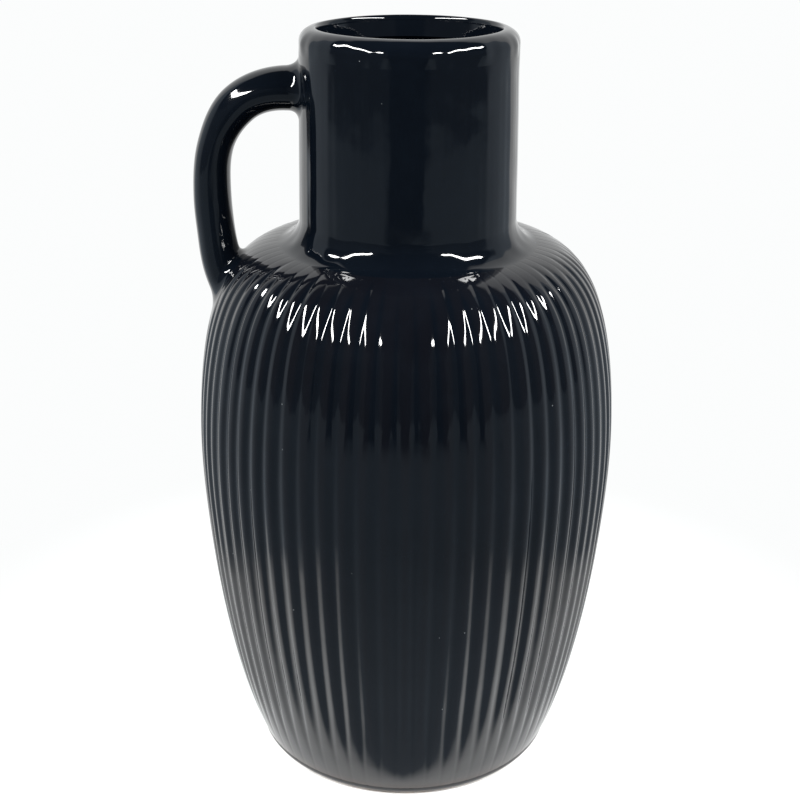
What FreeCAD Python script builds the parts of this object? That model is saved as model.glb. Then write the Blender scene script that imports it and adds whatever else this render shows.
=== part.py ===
import FreeCAD, Part
import math
import os
from FreeCAD import Vector

# Ribbed one-handled jug vase in glazed stoneware.
# The axis of the jug is Z, its foot stands on Z = 0 and the handle points to -X.
# All lengths are in millimetres and all angles are in degrees.

# Overall sizes
total_height = 280.0
belly_radius = 78.6
wall = 6.0

# Foot ring and floor
foot_radius = 59.2
foot_height = 3.8
foot_flat = 8.0
foot_chamfer = 0.8
floor_thickness = 5.0

# Shoulder joint, where the neck is set into the belly: its height is a share of the total height
joint_height_share = 0.7275
joint_slope = 10.0
joint_land = 0.5
neck_fillet = 9.8

# Neck and lip
neck_base_radius = 39.4
neck_top_radius = 38.5
lip_thickness = 7.2
lip_height = 9.0
lip_outer_round_share = 0.75
lip_throat_share = 0.5

# Ribs of the belly: shallow grooves that run out towards the foot and over the shoulder
rib_count = 68
rib_depth = 1.25
rib_foot_gap = 3.0
rib_foot_run = 12.0
rib_top_gap = 5.0
rib_top_run = 24.0

# Outline of the belly up to its widest place: shares of the way out from the foot
# to the widest radius, and of the height from foot to joint
belly_side_shares = ((0.287, 0.081), (0.571, 0.201), (0.801, 0.341), (0.939, 0.481), (1.0, 0.611))
foot_lean_share = 0.42

# Outline above it: shares of the way out from the joint to the widest radius, and of that height
shoulder_shares = (
    (0.965, 0.731),
    (0.884, 0.821),
    (0.764, 0.8915),
    (0.6285, 0.9365),
    (0.462, 0.968),
    (0.270, 0.988),
)

# Handle: its top is set this far below the lip, and its root at a share of the outline's length
handle_drop = 12.85
handle_root_share = 0.887
handle_thickness = 13.8
handle_width = 18.0

# Centre line of the handle: shares of the way out from the neck to the root,
# and of the rise from the root to the top
handle_line_shares = (
    (0.30, 1.000),
    (0.65, 0.950),
    (0.92, 0.835),
    (1.07, 0.690),
    (1.13, 0.460),
    (1.10, 0.220),
    (1.00, 0.000),
    (0.85, -0.150),
)

# Thickness and width along the handle: share of its length, share of the named size
handle_thickness_shares = ((0.0, 1.14), (0.25, 1.06), (0.42, 0.94), (0.70, 1.00), (1.0, 1.12))
handle_width_shares = ((0.0, 1.16), (0.25, 1.02), (0.60, 1.00), (1.0, 1.14))
handle_stations = 14

# Collars of slip round both ends of the handle
slip_margin = 1.8
slip_height = 3.2

# Plain ground that the ribs leave round the root of the handle
root_clear = 3.0
root_clear_run = 6.0

# Section of one rib from crest to crest: share of the way across, share of the depth
rib_section_shares = ((0.0, 0.0), (1 / 6, 0.25), (1 / 3, 0.75), (0.5, 1.0), (2 / 3, 0.75), (5 / 6, 0.25))

# Rings of control points up the belly, and how far an edge may lie from its level
belly_rows = 18
level_reach = 0.01


def smooth_step(value):
    """Ease from 0 to 1 as the value goes from 0 to 1."""
    held = min(max(value, 0.0), 1.0)
    return held * held * (3.0 - 2.0 * held)


def share_at(table, place):
    """Read a table of shares at a place between 0 and 1, easing between its rows."""
    for (start, low), (end, high) in zip(table[:-1], table[1:]):
        if place <= end:
            return low + (high - low) * smooth_step((place - start) / (end - start))
    return table[-1][1]


def at(radius, height):
    """A point of a turned outline, in the plane Y = 0."""
    return Vector(radius, 0, height)


def line(start, end):
    """A straight edge."""
    return Part.LineSegment(start, end).toShape()


def arc(start, centre, radius, angle, end):
    """An arc edge about a centre, from start to end by way of the given angle."""
    turn = math.radians(angle)
    middle = at(centre.x + radius * math.cos(turn), centre.z + radius * math.sin(turn))
    return Part.Arc(start, middle, end).toShape()


def turned(edges):
    """A solid turned about the axis from a closed outline."""
    return Part.Face(Part.Wire(edges)).revolve(Vector(), Vector(0, 0, 1), 360)


# Places that follow from the sizes above
slope = math.radians(joint_slope)
joint_height = total_height * joint_height_share
joint_radius = neck_base_radius + neck_fillet * (1.0 - math.sin(slope))
fillet_centre = at(neck_base_radius + neck_fillet, joint_height + neck_fillet * math.cos(slope))
fillet_reach = neck_fillet + wall
joint_inner_height = fillet_centre.z - math.sqrt(fillet_reach ** 2 - (neck_fillet * math.sin(slope)) ** 2)
floor_radius = foot_radius - wall
floor_top = foot_height + floor_thickness
lip_seat = total_height - lip_height
handle_top_height = lip_seat - handle_drop
mouth_radius = neck_top_radius - lip_thickness


def outline_points():
    """The points that the outline of the belly passes between the foot and the joint."""
    rise = joint_height - foot_height
    points = []
    for inner, table in ((foot_radius, belly_side_shares), (joint_radius, shoulder_shares)):
        for out, height in table:
            points.append(at(inner + out * (belly_radius - inner), foot_height + height * rise))
    return points


def along(curve, share):
    """The parameter of a curve at a share of its length."""
    return curve.parameterAtDistance(share * curve.length(), curve.FirstParameter)


def belly_outline():
    """The outline of the belly over the crests of its ribs, from the foot to the joint.

    A first curve passes through the given points. The outline itself passes through
    points that lie evenly along that one, so that its control points are even too.
    """
    ends = {
        "InitialTangent": Vector(foot_lean_share, 0, 1).normalize(),
        "FinalTangent": Vector(-math.cos(slope), 0, math.sin(slope)),
    }
    points = [at(foot_radius, foot_height)] + outline_points() + [at(joint_radius, joint_height)]
    first = Part.BSplineCurve()
    first.interpolate(Points=points, **ends)
    even = [first.value(along(first, row / belly_rows)) for row in range(belly_rows + 1)]
    outline = Part.BSplineCurve()
    outline.interpolate(Points=even, **ends)
    return outline


def neck_radius_at(height):
    """The outer radius of the neck at a height."""
    share = (height - fillet_centre.z) / (lip_seat - fillet_centre.z)
    return neck_base_radius + share * (neck_top_radius - neck_base_radius)


def rib_share(distance, length, angle, radius, root_distance):
    """How deep a groove is, as a share of the full depth, at a place on the belly.

    The place is given by its distance along the outline, which has the given length,
    and by its angle and radius about the axis.
    """
    foot_fade = smooth_step((distance - rib_foot_gap) / rib_foot_run)
    top_fade = smooth_step((length - rib_top_gap - distance) / rib_top_run)
    across = radius * math.atan2(-math.sin(angle), -math.cos(angle))
    half_width = handle_width / 2 + slip_margin + root_clear
    half_length = handle_thickness + slip_margin + root_clear
    away = math.hypot(across / half_width, (distance - root_distance) / half_length)
    root_fade = smooth_step((away - 1.0) * half_width / root_clear_run)
    return foot_fade * top_fade * root_fade


def ribbed_faces(outline, root_distance):
    """The outside of the belly, as a narrow ruled face for each strip of each rib.

    Every strip runs from foot to joint between two meridians. A meridian is the outline
    of the crests, drawn in by the depth of the groove at its angle.
    """
    length = outline.length()
    rows = [(pole, length * outline.parameter(pole) / outline.LastParameter) for pole in outline.getPoles()]
    meridians = []
    for rib in range(rib_count):
        for across, depth_share in rib_section_shares:
            angle = (rib + across) * 2 * math.pi / rib_count
            poles = []
            for pole, distance in rows:
                share = depth_share * rib_share(distance, length, angle, pole.x, root_distance)
                radius = pole.x - rib_depth * share
                poles.append(Vector(radius * math.cos(angle), radius * math.sin(angle), pole.z))
            meridians.append(poles)
    faces = []
    for left, right in zip(meridians, meridians[1:] + meridians[:1]):
        strip = Part.BSplineSurface()
        counts = ([2, 2], outline.getMultiplicities())
        knots = ([0, 1], outline.getKnots())
        strip.buildFromPolesMultsKnots([left, right], *counts, *knots, False, False, 1, outline.Degree)
        faces.append(strip.toShape())
    return faces


def outline_beside(outline, distance):
    """Points that run beside the outline of the belly, at a distance outward from it."""
    points = []
    for point in outline_points():
        place = outline.parameter(point)
        outward = outline.tangent(place)[0].cross(Vector(0, -1, 0))
        points.append(outline.value(place) + outward * distance)
    return points


def level_loop(faces, height):
    """The closed loop of those edges of some faces that lie level at a height."""
    edges = [edge for face in faces for edge in face.Edges if edge.BoundBox.ZLength < level_reach]
    level = [edge for edge in edges if abs(edge.CenterOfMass.z - height) < level_reach]
    return Part.Wire(Part.__sortEdges__(level))


def flat_ring(loop, height, radius):
    """The flat face between a level loop and a circle about the axis."""
    circle = Part.Wire(Part.makeCircle(radius, at(0, height)))
    return Part.makeFace([loop, circle], "Part::FaceMakerBullseye")


def make_belly_wall(outline, root_distance):
    """The hollow ribbed belly with its shoulder, open at the foot and at the joint."""
    land_corner = at(joint_radius + joint_land, joint_inner_height)
    floor_corner = at(floor_radius, floor_top)
    foot_corner = at(floor_radius, foot_height)
    beside = [point for point in outline_beside(outline, -wall) if point.z > floor_top + wall]
    lining = Part.BSplineCurve()
    lining.interpolate([floor_corner] + beside + [land_corner])
    inner_edge = Part.Wire([line(foot_corner, floor_corner), lining.toShape()])
    inside = inner_edge.revolve(Vector(), Vector(0, 0, 1), 360)
    outside = ribbed_faces(outline, root_distance)
    foot_face = flat_ring(level_loop(outside, foot_height), foot_height, floor_radius)
    joint_drop = at(0, joint_inner_height - joint_height)
    joint_faces = level_loop(outside, joint_height).extrude(joint_drop).Faces
    land_face = flat_ring(level_loop(joint_faces, joint_inner_height), joint_inner_height, land_corner.x)
    shell = Part.Compound(outside + [foot_face] + joint_faces + [land_face, inside])
    shell.sewShape()
    solid = Part.Solid(shell.Shells[0])
    if solid.Volume < 0:
        solid.reverse()
    return solid


def make_foot_ring():
    """The ring that the jug stands on, with the rounded edge of the base."""
    flat_edge = foot_radius - foot_height
    bore = flat_edge - foot_flat - foot_chamfer
    round_start = at(flat_edge, 0)
    round_end = at(foot_radius, foot_height)
    return turned([
        line(at(bore, foot_height), at(bore, foot_chamfer)),
        line(at(bore, foot_chamfer), at(bore + foot_chamfer, 0)),
        line(at(bore + foot_chamfer, 0), round_start),
        arc(round_start, at(flat_edge, foot_height), foot_height, -45, round_end),
        line(round_end, at(bore, foot_height)),
    ])


def make_base_disc():
    """The floor of the jug."""
    return Part.makeCylinder(floor_radius, floor_thickness, at(0, foot_height))


def flare_edge(radius, start, end):
    """The arc of the flare of the neck, outside or inside, about their shared centre."""
    turn = (180.0 + 270.0 - joint_slope) / 2
    return arc(start, fillet_centre, radius, turn, end)


def make_neck_collar():
    """The neck with its flared lower end, which fills the opening of the shoulder."""
    joint_low = at(joint_radius, joint_inner_height)
    joint_top = at(joint_radius, joint_height)
    outer_start = at(neck_base_radius, fillet_centre.z)
    inner_start = at(neck_base_radius - wall, fillet_centre.z)
    outer_top = at(neck_top_radius, lip_seat)
    inner_top = at(neck_top_radius - wall, lip_seat)
    return turned([
        line(joint_low, joint_top),
        flare_edge(neck_fillet, joint_top, outer_start),
        line(outer_start, outer_top),
        line(outer_top, inner_top),
        line(inner_top, inner_start),
        flare_edge(fillet_reach, inner_start, joint_low),
    ])


def make_lip_ring():
    """The thick rounded rim, which thins down to the neck inside."""
    outer_round = lip_thickness * lip_outer_round_share
    inner_round = lip_thickness - outer_round
    outer_low = at(neck_top_radius, lip_seat)
    outer_high = at(neck_top_radius, total_height - outer_round)
    crest = at(neck_top_radius - outer_round, total_height)
    inner_high = at(mouth_radius, total_height - inner_round)
    throat = at(mouth_radius, lip_seat + (lip_height - inner_round) * lip_throat_share)
    inner_low = at(neck_top_radius - wall, lip_seat)
    return turned([
        line(outer_low, outer_high),
        arc(outer_high, at(crest.x, outer_high.z), outer_round, 45, crest),
        arc(crest, at(crest.x, inner_high.z), inner_round, 135, inner_high),
        line(inner_high, throat),
        line(throat, inner_low),
        line(inner_low, outer_low),
    ])


def solid_jug(outline):
    """The jug as one lump without its hollow, which trims what is joined to its outside."""
    outer_start = at(neck_base_radius, fillet_centre.z)
    rim = at(neck_top_radius, lip_seat)
    top = at(neck_top_radius, total_height)
    return turned([
        outline.toShape(),
        flare_edge(neck_fillet, at(joint_radius, joint_height), outer_start),
        line(outer_start, rim),
        line(rim, top),
        line(top, at(0, total_height)),
        line(at(0, total_height), at(0, foot_height)),
        line(at(0, foot_height), at(foot_radius, foot_height)),
    ])


def handle_line(outline, root_distance):
    """The centre line of the handle, from inside the neck wall to inside the shoulder."""
    root = outline.value(along(outline, root_distance / outline.length()))
    neck = neck_radius_at(handle_top_height)
    points = [at(wall / 2 - neck, handle_top_height)]
    for out, rise in handle_line_shares:
        height = root.z + rise * (handle_top_height - root.z)
        points.append(at(-neck - out * (root.x - neck), height))
    curve = Part.BSplineCurve()
    curve.interpolate(points)
    return curve


def handle_bar(curve, margin):
    """The bar of the handle along its centre line, with its oval section grown by a margin."""
    across = Vector(0, 1, 0)
    rings = []
    for station in range(handle_stations + 1):
        share = station / handle_stations
        place = along(curve, share)
        centre = curve.value(place)
        thick = handle_thickness * share_at(handle_thickness_shares, share) / 2 + margin
        wide = handle_width * share_at(handle_width_shares, share) / 2 + margin
        ends = [(wide, across), (thick, across.cross(curve.tangent(place)[0]))]
        ends.sort(key=lambda end: end[0], reverse=True)
        major, minor = [centre + direction * reach for reach, direction in ends]
        rings.append(Part.Wire(Part.Ellipse(major, minor, centre).toShape()))
    return Part.makeLoft(rings, True)


def make_handle(curve, jug):
    """The handle, trimmed where it meets the neck and the shoulder."""
    return handle_bar(curve, 0).cut(jug).Solids[0]


def make_upper_slip(curve, jug, handle):
    """The collar of slip round the handle on the neck."""
    reach = neck_radius_at(handle_top_height) + slip_height
    low = handle_top_height - handle_thickness
    round_neck = Part.makeCylinder(reach, total_height - low, at(0, low))
    return handle_bar(curve, slip_margin).common(round_neck).cut(jug).cut(handle).Solids[0]


def make_lower_slip(outline, curve, jug, handle):
    """The collar of slip round the handle on the shoulder."""
    raised = Part.BSplineCurve()
    joint_top = at(joint_radius, joint_height + slip_height)
    foot_side = at(foot_radius + slip_height, foot_height)
    raised.interpolate([foot_side] + outline_beside(outline, slip_height) + [joint_top])
    lump = turned([
        raised.toShape(),
        line(joint_top, at(0, joint_top.z)),
        line(at(0, joint_top.z), at(0, foot_height)),
        line(at(0, foot_height), foot_side),
    ])
    return handle_bar(curve, slip_margin).common(lump).cut(jug).cut(handle).Solids[0]


def save(name, shape):
    """Write one piece to its own file."""
    shape.exportStep("parts/" + name + ".step")
    print(name, "valid" if shape.isValid() else "broken", round(shape.Volume), "mm3")


def main():
    """Build every piece of the jug and write it."""
    os.makedirs("parts", exist_ok=True)
    outline = belly_outline()
    root_distance = handle_root_share * outline.length()
    curve = handle_line(outline, root_distance)
    jug = solid_jug(outline)
    handle = make_handle(curve, jug)
    save("foot_ring", make_foot_ring())
    save("base_disc", make_base_disc())
    save("belly_wall", make_belly_wall(outline, root_distance))
    save("neck_collar", make_neck_collar())
    save("lip_ring", make_lip_ring())
    save("handle", handle)
    save("handle_upper_slip", make_upper_slip(curve, jug, handle))
    save("handle_lower_slip", make_lower_slip(outline, curve, jug, handle))


main()
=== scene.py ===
"""Dress a ribbed, one-handled jug vase in black glazed stoneware.

The jug stands on the floor at Z = 0 with its axis on Z and its handle towards -X.
Its sizes are in millimetres and turned to metres where a mesh is made; the stage's
sizes are in metres.
"""

from __future__ import annotations

import logging
import math
from dataclasses import dataclass, field
from enum import Enum

import bpy
import numpy as np
from mathutils import Matrix


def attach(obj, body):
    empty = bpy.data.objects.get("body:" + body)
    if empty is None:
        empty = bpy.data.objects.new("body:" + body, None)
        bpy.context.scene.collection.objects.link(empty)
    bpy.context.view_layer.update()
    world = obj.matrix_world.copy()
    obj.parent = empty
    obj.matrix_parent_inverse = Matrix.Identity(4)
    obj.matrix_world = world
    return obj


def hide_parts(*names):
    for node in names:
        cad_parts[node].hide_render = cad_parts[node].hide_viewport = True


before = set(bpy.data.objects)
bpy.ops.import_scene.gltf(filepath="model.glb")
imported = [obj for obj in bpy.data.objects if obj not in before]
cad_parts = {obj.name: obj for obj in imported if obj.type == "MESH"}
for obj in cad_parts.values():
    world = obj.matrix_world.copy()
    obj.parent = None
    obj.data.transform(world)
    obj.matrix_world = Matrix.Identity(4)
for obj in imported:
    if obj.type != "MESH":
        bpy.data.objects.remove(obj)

MM = 0.001
THIN = "thin_glaze"
# Millimetres between a corner of an outline and the row of points beside it.
CLOSE = 0.06
log = logging.getLogger("jug")

Array = np.ndarray
Pair = tuple[float, float]
Triple = tuple[float, float, float]
Table = tuple[Pair, ...]
Waves = tuple[tuple[float, float, float, float], ...]
Piece = bpy.types.Object
Material = bpy.types.Material
Tree = bpy.types.NodeTree
Socket = bpy.types.NodeSocket


class Slot(Enum):
    """Material slots of the part's record."""

    GLAZE = "black_glaze"
    CLAY = "bare_clay"


class Side(Enum):
    """Which end of the handle a collar of slip goes round."""

    NECK = "neck"
    SHOULDER = "shoulder"


def smooth_step(value: Array) -> Array:
    """Ease from 0 to 1 as the value goes from 0 to 1: 3 v squared less 2 v cubed."""
    held = np.clip(value, 0.0, 1.0)
    return held * held * (3.0 - 2.0 * held)


def spline_through(points: Array, start: Pair, end: Pair, count: int) -> Array:
    """Sample the smooth cubic curve through some points of a plane.

    The curve's parameter is the length of the chords. The direction at each inner
    point is such that the bend is the same on both sides of it, which gives one
    equation per point in three neighbouring directions; the end directions are given.
    Between two points the curve is the cubic with those directions at its ends.

    Args:
        points: The points, one row each.
        start: Direction at the first point.
        end: Direction at the last point.
        count: How many samples to return.

    Returns:
        The samples, one row each, evenly spread in the parameter.
    """
    points = np.asarray(points, float)
    steps = np.hypot(*np.diff(points, axis=0).T)
    knots = np.r_[0.0, np.cumsum(steps)]
    inverse = 1.0 / steps
    size = len(points)
    matrix = np.eye(size)
    inner = np.arange(1, size - 1)
    matrix[inner, inner - 1] = inverse[:-1]
    matrix[inner, inner] = 2.0 * (inverse[:-1] + inverse[1:])
    matrix[inner, inner + 1] = inverse[1:]
    pull = np.diff(points, axis=0) * (inverse**2)[:, None] * 3.0
    right = np.zeros_like(points)
    right[0] = np.asarray(start) / np.hypot(*start)
    right[-1] = np.asarray(end) / np.hypot(*end)
    right[1:-1] = pull[:-1] + pull[1:]
    slopes = np.linalg.solve(matrix, right)
    place = np.linspace(0.0, knots[-1], count)
    left = np.clip(np.searchsorted(knots, place, side="right") - 1, 0, size - 2)
    step = steps[left][:, None]
    t = (place - knots[left])[:, None] / step
    return (
        points[left] * (1 + 2 * t) * (1 - t) ** 2
        + points[left + 1] * t**2 * (3 - 2 * t)
        + slopes[left] * step * t * (1 - t) ** 2
        - slopes[left + 1] * step * t**2 * (1 - t)
    )


def lengths_along(path: Array) -> Array:
    """Length of a path up to each of its points."""
    return np.r_[0.0, np.cumsum(np.linalg.norm(np.diff(path, axis=0), axis=1))]


def read_at(path: Array, place: Array) -> Array:
    """Read a finely sampled path at lengths along it."""
    along = lengths_along(path)
    return np.stack([np.interp(place, along, column) for column in path.T], axis=-1)


def normals_beside(path: Array) -> Array:
    """Unit normals of a path of radius and height, to the right of its way."""
    way = unit(np.gradient(path, axis=0))
    return np.stack([way[:, 1], -way[:, 0]], axis=-1)


def unit(ways: Array) -> Array:
    """Bring each row to length 1."""
    return ways / np.linalg.norm(ways, axis=1, keepdims=True)


def flattened(ways: Array, normals: Array) -> Array:
    """Take out of each row its part along a unit normal."""
    return ways - normals * np.sum(ways * normals, axis=1, keepdims=True)


def straight(start: Pair, end: Pair, count: int) -> Array:
    """Points on a straight run, with one close to each end, so that its shading stays even.

    Args:
        start: First point, as radius and height.
        end: Last point.
        count: How many steps the run is cut into.

    Returns:
        The points without the last one, one row each.
    """
    length = math.dist(start, end)
    share = np.linspace(0.0, 1.0, count + 1)
    near = CLOSE / length
    share = np.unique(np.r_[share, near, 1.0 - near]) if near < 0.4 / count else share
    return (np.asarray(start) + share[:, None] * (np.asarray(end) - np.asarray(start)))[:-1]


def bend(centre: Pair, radius: float, start: float, end: float, count: int) -> Array:
    """An arc's points less the last: centre plus radius times cosine and sine of its degrees."""
    angle = np.radians(np.linspace(start, end, count + 1))[:-1]
    return np.asarray(centre) + radius * np.stack([np.cos(angle), np.sin(angle)], axis=-1)


def circle_of(columns: int) -> Array:
    """Evenly spread angles round the axis."""
    return np.arange(columns) * (2 * math.pi / columns)


def turn(radius: Array, height: Array, angle: Array) -> Array:
    """Carry points of the plane of radius and height round the axis.

    Each place is (radius cos angle, radius sin angle, height).

    Args:
        radius: Radius for each row, or for each row and column.
        height: Height for each row, or for each row and column.
        angle: Angle of each column.

    Returns:
        Points by row and column.
    """
    shape = (len(radius), len(angle))
    radius = np.broadcast_to(radius.reshape(shape[0], -1), shape)
    height = np.broadcast_to(height.reshape(shape[0], -1), shape)
    return np.stack([radius * np.cos(angle), radius * np.sin(angle), height], axis=-1)


def grid_faces(rows: int, columns: int, ring_rows: bool = False) -> Array:
    """Corner numbers of the four-sided faces of a grid of points, whose rows are rings.

    Args:
        rows: How many rows of points.
        columns: How many points in a row.
        ring_rows: Whether the last row joins the first.

    Returns:
        Four corner numbers for each face.
    """
    number = np.arange(rows * columns).reshape(rows, columns)
    if ring_rows:
        number = np.vstack([number, number[:1]])
    number = np.c_[number, number[:, :1]]
    corners = (number[:-1, :-1], number[:-1, 1:], number[1:, 1:], number[1:, :-1])
    return np.stack([corner.ravel() for corner in corners], axis=-1)


def fan(start: int, columns: int, centre: int, turned: bool = False) -> Array:
    """Corner numbers of the triangles that close a ring of points round a middle point.

    Args:
        start: Number of the ring's first point.
        columns: How many points the ring has.
        centre: Number of the middle point.
        turned: Whether the triangles go round the other way.

    Returns:
        Three corner numbers for each triangle.
    """
    here = start + np.arange(columns)
    onward = np.roll(here, -1)
    pair = (onward, here) if turned else (here, onward)
    return np.stack([*pair, np.full(columns, centre)], axis=-1)


def make_piece(
    name: str,
    points: Array,
    faces: list[Array],
    thin: Array | None = None,
    crease: float = 40.0,
) -> Piece:
    """Put points and faces into a new smooth object at the origin.

    Args:
        name: The piece's name.
        points: Points in millimetres, the last axis is X, Y and Z.
        faces: Tables of corner numbers, one row for each face.
        thin: How thin the glaze is at each point, from 0 to 1.
        crease: Edges sharper than this many degrees stay sharp.

    Returns:
        The object, linked to the scene.
    """
    mesh = bpy.data.meshes.new(name)
    corners = [face for table in faces for face in table.tolist()]
    mesh.from_pydata((points.reshape(-1, 3) * MM).tolist(), [], corners)
    mesh.polygons.foreach_set("use_smooth", np.ones(len(mesh.polygons), bool))
    mesh.set_sharp_from_angle(angle=math.radians(crease))
    if thin is not None:
        attribute = mesh.attributes.new(THIN, "FLOAT", "POINT")
        attribute.data.foreach_set("value", thin.astype(np.float32).ravel())
    mesh.update()
    piece = bpy.data.objects.new(name, mesh)
    bpy.context.scene.collection.objects.link(piece)
    return piece


def turned_piece(name: str, radius: Array, height: Array, columns: int) -> Piece:
    """Carry a closed profile round the axis, given as for turn, to make a ring."""
    points = turn(radius, height, circle_of(columns))
    return make_piece(name, points, [grid_faces(len(radius), columns, True)])


def waves_round(angle: Array, height: Array, waves: Array | Waves) -> Array:
    """Sum of waves: weight times the sine of count angle plus phase plus lean height."""
    weight, count, phase, lean = np.array(waves).T[:, :, None, None]
    return (weight * np.sin(count * angle + phase + lean * height[:, None])).sum(axis=0)


def ripple(angle: Array, height: Array, size: float, seed: int) -> Array:
    """Slow unevenness of a hand-thrown wall: a few waves round the axis and up it.

    Args:
        angle: Angle of each column.
        height: Height of each row.
        size: How far the wall strays, at most about three times this.
        seed: Which set of waves.

    Returns:
        Distances by row and column.
    """
    random = np.random.default_rng(seed)
    count = np.array([1, 2, 3, 5, 7, 11])
    lean = 2 * math.pi / np.array([160.0, 110.0, 70.0, 45.0, 33.0, 21.0])
    phase = random.uniform(0, 2 * math.pi, 6)
    weight = random.uniform(0.6, 1.0, 6) * np.array([1.0, 0.8, 0.5, 0.3, 0.2, 0.12])
    return size * waves_round(angle, height, np.c_[weight, count, phase, lean])


def new_group(name: str, inputs: dict[str, float], outputs: dict[str, str]) -> tuple:
    """Start a shader node group with named sockets.

    Args:
        name: The group's name.
        inputs: Name and default of each number that goes in.
        outputs: Name and socket type of each value that comes out.

    Returns:
        The group, the sockets of its numbers and the sockets of its results.
    """
    group = bpy.data.node_groups.new(name, "ShaderNodeTree")
    for label, value in inputs.items():
        socket = group.interface.new_socket(label, in_out="INPUT", socket_type="NodeSocketFloat")
        socket.default_value = value
    for label, kind in outputs.items():
        group.interface.new_socket(label, in_out="OUTPUT", socket_type=kind)
    into, out = group.nodes.new("NodeGroupInput"), group.nodes.new("NodeGroupOutput")
    return group, into.outputs, out.inputs


class Wiring:
    """Short ways to add and join nodes of one node tree."""

    def __init__(self, tree: Tree) -> None:
        """Keep the tree that the nodes go in."""
        self.tree = tree

    def node(self, kind: str, **settings: object) -> bpy.types.Node:
        """Add a node of a type and set its properties.

        Args:
            kind: The type.
            settings: The properties.

        Returns:
            The node.
        """
        made = self.tree.nodes.new(kind)
        for label, value in settings.items():
            setattr(made, label, value)
        return made

    def join(self, source: Socket, target: Socket) -> None:
        """Link an output to an input."""
        self.tree.links.new(source, target)

    def value(self, kind: str, inputs: dict, output: int | str, **settings: object) -> Socket:
        """Add a node, fill its inputs and read one output.

        Args:
            kind: The node's type.
            inputs: A socket, number or colour for each input that is named or counted.
            output: Which output.
            settings: The node's properties.

        Returns:
            The output's socket.
        """
        made = self.node(kind, **settings)
        for place, given in inputs.items():
            if isinstance(given, Socket):
                self.join(given, made.inputs[place])
            else:
                plain = (*given, 1.0) if isinstance(given, tuple) else given
                made.inputs[place].default_value = plain
        return made.outputs[output]

    def reckon(self, operation: str, first: object, second: object, clamp: bool = False) -> Socket:
        """Work out one step on two values, each a socket or a number."""
        inputs = {0: first, 1: second}
        return self.value("ShaderNodeMath", inputs, 0, operation=operation, use_clamp=clamp)

    def times(self, first: object, second: object) -> Socket:
        """Multiply two values."""
        return self.reckon("MULTIPLY", first, second)

    def plus(self, first: object, second: object) -> Socket:
        """Add two values."""
        return self.reckon("ADD", first, second)

    def less(self, first: object, second: object) -> Socket:
        """Take the second value from the first."""
        return self.reckon("SUBTRACT", first, second)

    def over(self, first: object, second: object) -> Socket:
        """Divide the first value by the second."""
        return self.reckon("DIVIDE", first, second)

    def noise(self, where: Socket, scale: float, detail: float, roughness: float = 0.5) -> Socket:
        """Noise from 0 to 1, with a scale in waves per metre."""
        inputs = {"Vector": where, "Scale": scale, "Detail": detail, "Roughness": roughness}
        return self.value("ShaderNodeTexNoise", inputs, "Fac")

    def spread(self, value: Socket, low: float, high: float) -> Socket:
        """Ease a value from 0 at low to 1 at high."""
        inputs = {"Value": value, "From Min": low, "From Max": high}
        return self.value("ShaderNodeMapRange", inputs, "Result", interpolation_type="SMOOTHSTEP")

    def blend(self, share: Socket, first: object, second: object) -> Socket:
        """Mix two colours, with this share of the second."""
        inputs = {"Factor": share, 6: first, 7: second}
        return self.value("ShaderNodeMix", inputs, 2, data_type="RGBA")

    def places(self) -> tuple[Socket, Socket, Socket, Socket]:
        """Read the place on the object.

        Returns:
            The place as a vector, and its X, Y and Z.
        """
        where = self.node("ShaderNodeTexCoord").outputs["Object"]
        parts = self.node("ShaderNodeSeparateXYZ")
        self.join(where, parts.inputs["Vector"])
        return where, *parts.outputs

    def bump(self, height: Socket, shader: bpy.types.Node) -> None:
        """Raise a shader's surface by a height in metres."""
        normal = self.value("ShaderNodeBump", {"Distance": 1.0, "Height": height}, "Normal")
        self.join(normal, shader.inputs["Normal"])


def new_material(name: str) -> tuple[Material, Wiring, bpy.types.Node]:
    """Start a material.

    Args:
        name: The material's name.

    Returns:
        The material, the wiring of its nodes and its shader.
    """
    made = bpy.data.materials.new(name)
    made.use_nodes = True
    return made, Wiring(made.node_tree), made.node_tree.nodes["Principled BSDF"]


@dataclass(frozen=True)
class GlazeSkin:
    """The skin of a fired glaze: a slow flow of the melt, a finer orange peel and pinholes.

    The pinholes are the centres of a few scattered cells. Scales are per metre.
    """

    flow_scale: float = 60.0
    peel_scale: float = 210.0
    cell_scale: float = 130.0
    empty_share: float = 0.45
    least_width: float = 0.02
    more_width: float = 0.035
    hole_floor: float = 0.4

    def group(self) -> Tree:
        """Make the skin's node group.

        Returns:
            The group, with Height in metres and a mask of the pinholes, where the glaze paints its
            glints.
        """
        inputs = {"Flow": 0.0001, "Peel": 0.00001, "Pinhole Depth": 0.00008}
        outputs = {"Height": "NodeSocketFloat", "Pinhole Glints": "NodeSocketFloat"}
        group, amount, result = new_group("glaze_skin", inputs, outputs)
        wire = Wiring(group)
        where = wire.places()[0]
        flow = wire.times(wire.noise(where, self.flow_scale, 1.0), amount["Flow"])
        peel = wire.times(wire.noise(where, self.peel_scale, 1.0), amount["Peel"])
        cells = wire.node("ShaderNodeTexVoronoi", feature="F1")
        wire.join(where, cells.inputs["Vector"])
        cells.inputs["Scale"].default_value = self.cell_scale
        picked = wire.node("ShaderNodeSeparateColor")
        wire.join(cells.outputs["Color"], picked.inputs["Color"])
        pick, size, _ = picked.outputs
        chosen = wire.reckon("GREATER_THAN", pick, self.empty_share)
        width = wire.plus(wire.times(size, self.more_width), self.least_width)
        near = wire.over(cells.outputs["Distance"], width)
        hole = wire.times(wire.less(1.0, wire.spread(near, self.hole_floor, 1.0)), chosen)
        dip = wire.times(hole, amount["Pinhole Depth"])
        wire.join(wire.less(wire.plus(flow, peel), dip), result["Height"])
        wire.join(hole, result["Pinhole Glints"])
        return group


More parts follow.
